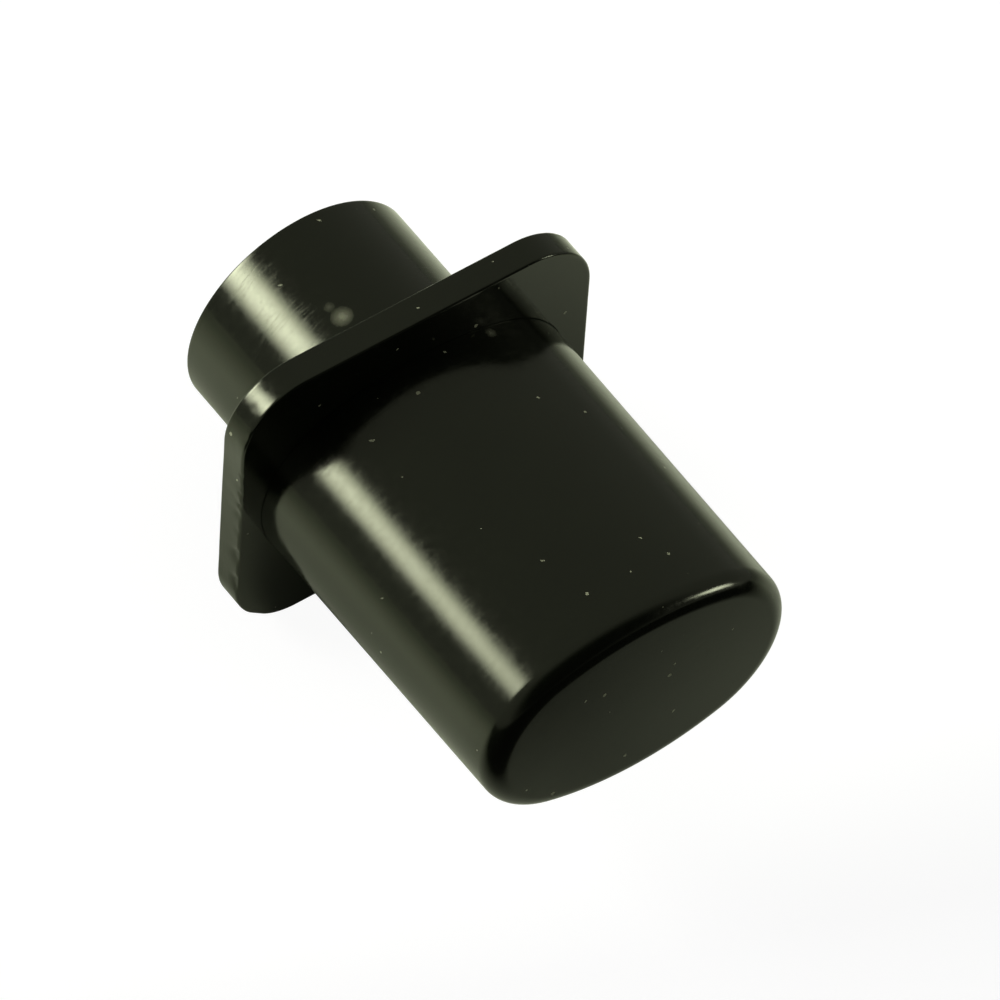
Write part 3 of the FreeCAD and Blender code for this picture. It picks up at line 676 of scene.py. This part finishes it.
MATERIALS = {
    # gloss black ABS: a sharp mirror on the housing, a softer one on the cap that fingers rub;
    # the pale spots are painted highlights: two on the neck's gate mark, where it mirrors the
    # window, and one by the cap's root
    "housing_plastic": gloss_black(
        "moulded ABS housing, gloss black", 0.105, 0.0016, 0.55,
        [((-2.0, 2.9, 7.6), 0.75, 0.7), ((-2.2, 3.9, 7.5), 0.4, 0.25)]),
    "cap_plastic": gloss_black(
        "moulded ABS cap, gloss black", 0.135, 0.0011, 0.35,
        [((4.9, -2.4, 6.9), 0.4, 0.5)]),
    # sintered bronze: warm brown metal with open pores that hold oil
    "bush_bronze": grainy("sintered bronze bush", "#b08452", "#6e4c2c", 0.42, 0.16, 1.0, 0.010),
    # nitrile rubber, moulded: soft black with a faint bloom
    "seal_rubber": grainy("moulded nitrile rubber", "#2a2b2b", "#101111", 0.62, 0.22, 0.0, 0.004),
    # mild steel, stamped and zinc plated: cool bright grey, cloudy
    "retainer_steel": strip_metal("stamped zinc-plated steel", "#c9ccce", "#8d9194", 0.34, 0.05),
    # stainless wire, cold drawn: bright with lines along the draw
    "spring_steel": strip_metal("drawn stainless wire", "#d2cfc8", "#98958d", 0.24, 0.06),
    # glass-filled nylon, moulded: dark brown-grey, dull, with short pale fibres near the skin
    "base_plastic": grainy("glass-filled nylon", "#5a534a", "#26231f", 0.52, 0.18, 0.0, 0.006),
    # acetal, natural: waxy off-white
    "carrier_plastic": grainy("natural acetal", "#e9e5da", "#d3cebf", 0.36, 0.5, 0.0, 0.002),
    # spring steel, phosphated: dark grey crystalline coat
    "ring_steel": grainy("phosphated spring steel", "#6a6b6c", "#2f3031", 0.46, 0.12, 0.85, 0.004),
    # brass strip, rolled and tinned: pale warm silver with brass showing through
    "terminal_brass": strip_metal("tinned brass strip", "#dcd3b8", "#a8946a", 0.30, 0.06),
    # silver alloy, coined: near white, warmed a little by sulphide
    "tip_silver": strip_metal("coined silver alloy", "#eceae4", "#b9b3a6", 0.22, 0.08),
    # brass bar, turned: warm yellow with fine tool marks round the axis
    "insert_brass": turned_metal("turned brass", "#dcbf7c", "#a98544", 0.26, 0.08),
    # mild steel washers, zinc plated: cool pale grey, slightly cloudy
    "washer_steel": strip_metal("zinc-plated steel washer", "#cdd0d1", "#90959a", 0.30, 0.07),
    # stainless bar, turned: bright warm grey with fine rings
    "plunger_steel": turned_metal("turned stainless steel", "#d0cec9", "#97958f", 0.20, 0.10),
    # steel screw, headed and zinc plated: bluish grey with soft rings
    "screw_steel": turned_metal("zinc-plated steel screw", "#c8cccf", "#878c91", 0.30, 0.12),
    # copper strip, rolled: warm pink metal, tarnished in clouds
    "bridge_copper": strip_metal("rolled copper strip", "#e3a184", "#9a5a3e", 0.28, 0.05),
}

slot_of = {part["node"]: part["material_slot"] for part in frame["record"]["subparts"]}
body_of = {
    node: body for body, nodes in frame["record"]["behaviour"]["bodies"].items() for node in nodes}


def dress(piece, *nodes):
    """Give a new piece its nodes' body and finish, and hide those nodes."""
    piece.data.materials.clear()
    piece.data.materials.append(MATERIALS[slot_of[nodes[0]]])
    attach(piece, body_of[nodes[0]])
    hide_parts(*nodes)


dress(build_housing(), "housing")
dress(build_cap(), "button_cap")
return_coil, contact_coil = build_springs()
dress(return_coil, "return_spring")
dress(contact_coil, "contact_spring")
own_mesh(return_coil)
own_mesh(contact_coil)

EASED = {
    "contact_base": 0.12, "base_ring": 0.04, "terminal_left": 0.05, "terminal_right": 0.05,
    "guide_bush": 0.06, "seal_retainer": 0.04, "cap_insert": 0.08, "spring_seat": 0.06,
    "retaining_clip": 0.04, "bridge_carrier": 0.06, "stop_washer": 0.04, "carrier_screw": 0.06,
    "contact_bridge": 0.04, "plunger": 0.08,
}
for node, width in EASED.items():
    dress(eased(node, node + "_eased", width), node)

for name, part in frame["nodes"].items():
    for slot in part.material_slots:
        slot.material = MATERIALS[slot_of[name]]


# ---- studio --------------------------------------------------------------------------------

scene = bpy.context.scene
scene.view_settings.view_transform = "Standard"
LAMP = (0.97, 1.0, 0.81)
FLOOR_DROP = 0.02


def plain(name, inputs, kind="ShaderNodeBsdfDiffuse", extra=None):
    """Stage material: one shader, or a diffuse and an emissive one added together."""
    material = bpy.data.materials.new(name)
    material.use_nodes = True
    tree = material.node_tree
    tree.nodes.clear()
    surface = add(tree, kind, inputs).outputs[0]
    if extra:
        glow = add(tree, "ShaderNodeEmission", extra).outputs[0]
        surface = add(tree, "ShaderNodeAddShader", {0: surface, 1: glow}).outputs[0]
    add(tree, "ShaderNodeOutputMaterial", {"Surface": surface})
    return material


def sheet(name, half, height, material):
    """Flat level square about the origin, for a floor or a lamp's pane."""
    mesh = bpy.data.meshes.new(name)
    corners = [(-half, -half, height), (half, -half, height), (half, half, height),
               (-half, half, height)]
    mesh.from_pydata(corners, [], [(0, 1, 2, 3)])
    mesh.materials.append(material)
    piece = bpy.data.objects.new(name, mesh)
    bpy.context.collection.objects.link(piece)
    return piece


def seen_only_by(piece, lens):
    """Show a stage piece to the lens only, or only to reflections and bounced light."""
    piece.visible_camera = lens
    piece.visible_diffuse = piece.visible_glossy = piece.visible_transmission = not lens
    piece.visible_shadow = False


def painted_light_paper():
    """Paper as the plastic mirrors it, painted with light and shade: a painted pool of light round
    the button that fades to the sides and stops short in front, where the room is dark, and a
    colour darkened by painted shade close to the button, far out and in front."""
    material = plain("paper with painted light", {}, extra={"Color": (0.93, 1.0, 0.76, 1)})
    tree = material.node_tree
    place = add(tree, "ShaderNodeTexCoord").outputs["Object"]
    far = add(tree, "ShaderNodeVectorMath", {0: place}, operation="LENGTH").outputs["Value"]
    depth = add(tree, "ShaderNodeVectorMath", {
        0: place, 1: (0.35, 1, 0)}, operation="DOT_PRODUCT").outputs["Value"]
    # painted pool of light: emission that rises from 12 to 32 mm out, falls off towards 75 mm and
    # is cut off in front
    near = add(tree, "ShaderNodeMapRange", {
        "Value": far, "From Min": 12 * MM, "From Max": 32 * MM})
    wide = add(tree, "ShaderNodeMapRange", {
        "Value": far, "From Min": 28 * MM, "From Max": 75 * MM, "To Min": 0.42, "To Max": 0.10})
    front = add(tree, "ShaderNodeMapRange", {
        "Value": depth, "From Min": -36 * MM, "From Max": -20 * MM}).outputs["Result"]
    ring = add(tree, "ShaderNodeMath", {
        0: near.outputs["Result"], 1: wide.outputs["Result"]}, operation="MULTIPLY")
    glow = add(tree, "ShaderNodeMath", {0: ring.outputs[0], 1: front}, operation="MULTIPLY")
    tree.links.new(glow.outputs[0], tree.nodes["Emission"].inputs["Strength"])
    # painted shade: the paper's colour is darker within 34 mm of the button, far out past 40 mm,
    # and in front
    shade = add(tree, "ShaderNodeMapRange", {
        "Value": far, "From Min": 14 * MM, "From Max": 34 * MM, "To Min": 0.35, "To Max": 0.9})
    dim = add(tree, "ShaderNodeMapRange", {
        "Value": far, "From Min": 40 * MM, "From Max": 140 * MM, "To Min": 1.0, "To Max": 0.4})
    faded = add(tree, "ShaderNodeMath", {
        0: shade.outputs["Result"], 1: dim.outputs["Result"]}, operation="MULTIPLY")
    pale = add(tree, "ShaderNodeMath", {0: faded.outputs[0], 1: front}, operation="MULTIPLY")
    painted_shade_colour = add(tree, "ShaderNodeMix", {
        "Factor": pale.outputs[0], "A": (0.02, 0.02, 0.02, 1), "B": (0.90, 0.94, 0.80, 1)},
        data_type="RGBA")
    tree.links.new(painted_shade_colour.outputs["Result"], tree.nodes["Diffuse BSDF"].inputs["Color"])
    return material


def build_floor():
    """Pale floor, in two sheets: the lens sees it exposed to white with a faint shadow, and the
    plastic mirrors a sheet painted with a pool of light and with shade. A white sweep stands all
    round."""
    level = cad_low[2] - FLOOR_DROP * MM
    paper = painted_light_paper()
    white = plain("exposed paper", {"Color": (0.16, 0.155, 0.18, 1)}, extra={
        "Color": (1, 1, 1, 1), "Strength": 0.93})
    seen_only_by(sheet("floor_mirrored", 1.0, level, paper), False)
    seen_only_by(sheet("floor_seen", 1.2, level - 0.0001, white), True)
    bpy.ops.mesh.primitive_uv_sphere_add(segments=64, ring_count=32, radius=1.25)
    sweep = bpy.context.object
    sweep.name = "white_sweep"
    sweep.data.materials.append(plain("white sweep", {
        "Color": (1, 1, 1, 1), "Strength": 1.0}, "ShaderNodeEmission"))
    seen_only_by(sweep, True)


def softbox(name, toward, distance, size, radiance):
    """Square area lamp that faces the button from a direction, its power set from radiance:
    watts = radiance * pi * area."""
    lamp = bpy.data.lights.new(name, "AREA")
    lamp.shape = "RECTANGLE"
    lamp.size, lamp.size_y = size
    lamp.energy = radiance * math.pi * size[0] * size[1]
    lamp.color = LAMP
    holder = bpy.data.objects.new(name, lamp)
    direction = Vector(toward).normalized()
    holder.location = direction * distance
    holder.rotation_euler = direction.to_track_quat("Z", "Y").to_euler()
    holder.visible_camera = False
    bpy.context.collection.objects.link(holder)


def build_room():
    """Even dim room, darker on the side that the lens stands on."""
    world = bpy.data.worlds.new("room")
    scene.world = world
    world.use_nodes = True
    tree = world.node_tree
    tree.nodes.clear()
    toward = add(tree, "ShaderNodeTexCoord").outputs["Generated"]
    dark_side = Vector((-0.1, -0.8, 0.55)).normalized()
    facing = add(tree, "ShaderNodeVectorMath", {0: toward, 1: dark_side}, operation="DOT_PRODUCT")
    level = add(tree, "ShaderNodeMapRange", {
        "Value": facing.outputs["Value"], "From Min": 0.5, "From Max": 0.9,
        "To Min": 0.28, "To Max": 0.012}, interpolation_type="SMOOTHSTEP")
    sky = add(tree, "ShaderNodeBackground", {
        "Color": (*LAMP, 1), "Strength": level.outputs["Result"]})
    add(tree, "ShaderNodeOutputWorld", {"Surface": sky.outputs[0]})


def build_camera():
    """Lens that looks down on the button from the left of its pressed face."""
    azimuth, elevation, roll = (math.radians(v) for v in (-38.48, 52.22, 4.14))
    back = Vector((math.sin(azimuth) * math.cos(elevation),
                   -math.cos(azimuth) * math.cos(elevation), math.sin(elevation)))
    level = Vector((math.cos(azimuth), math.sin(azimuth), 0))
    upright = back.cross(level)
    right = level * math.cos(roll) + upright * math.sin(roll)
    up = back.cross(right)
    brim_face = Vector((0, -BRIM_THICKNESS, 0))
    aim = (brim_face + Vector((2.491, -5.414, -2.083))) * MM
    lens = bpy.data.cameras.new("camera")
    lens.lens, lens.sensor_width = 483.5, 36
    lens.clip_start, lens.clip_end = 0.01, 50
    holder = bpy.data.objects.new("camera", lens)
    holder.matrix_world = Matrix.Translation(aim + back * 783.8 * MM) @ Matrix(
        (right, up, back)).transposed().to_4x4()
    bpy.context.collection.objects.link(holder)
    scene.camera = holder


def round_window(toward, distance, half, peak):
    """Round diffuser, clear at its rim: radiance falls from peak in the middle to nothing at
    the half widths, in metres, as a smooth step. It stands at a distance from the button."""
    material = plain("window", {}, "ShaderNodeBsdfTransparent", {"Color": (*LAMP, 1)})
    tree = material.node_tree
    place = add(tree, "ShaderNodeTexCoord").outputs["Object"]
    out = add(tree, "ShaderNodeVectorMath", {
        0: place, 1: (1 / half[0], 1 / half[1], 1)}, operation="MULTIPLY")
    far = add(tree, "ShaderNodeVectorMath", {0: out.outputs[0]}, operation="LENGTH")
    level = add(tree, "ShaderNodeMapRange", {
        "Value": far.outputs["Value"], "To Min": peak, "To Max": 0.0},
        interpolation_type="SMOOTHSTEP")
    tree.links.new(level.outputs["Result"], tree.nodes["Emission"].inputs["Strength"])
    pane = sheet("window", max(half), 0, material)
    direction = Vector(toward).normalized()
    pane.location = direction * distance
    pane.rotation_euler = direction.to_track_quat("Z", "X").to_euler()
    pane.visible_camera = False


build_floor()
build_room()
round_window((-0.60, 0.60, 0.54), 0.5, (0.155, 0.19), 23)
softbox("side lamp", (0.70, -0.66, 0.28), 0.6, (0.12, 0.11), 12)
build_camera()
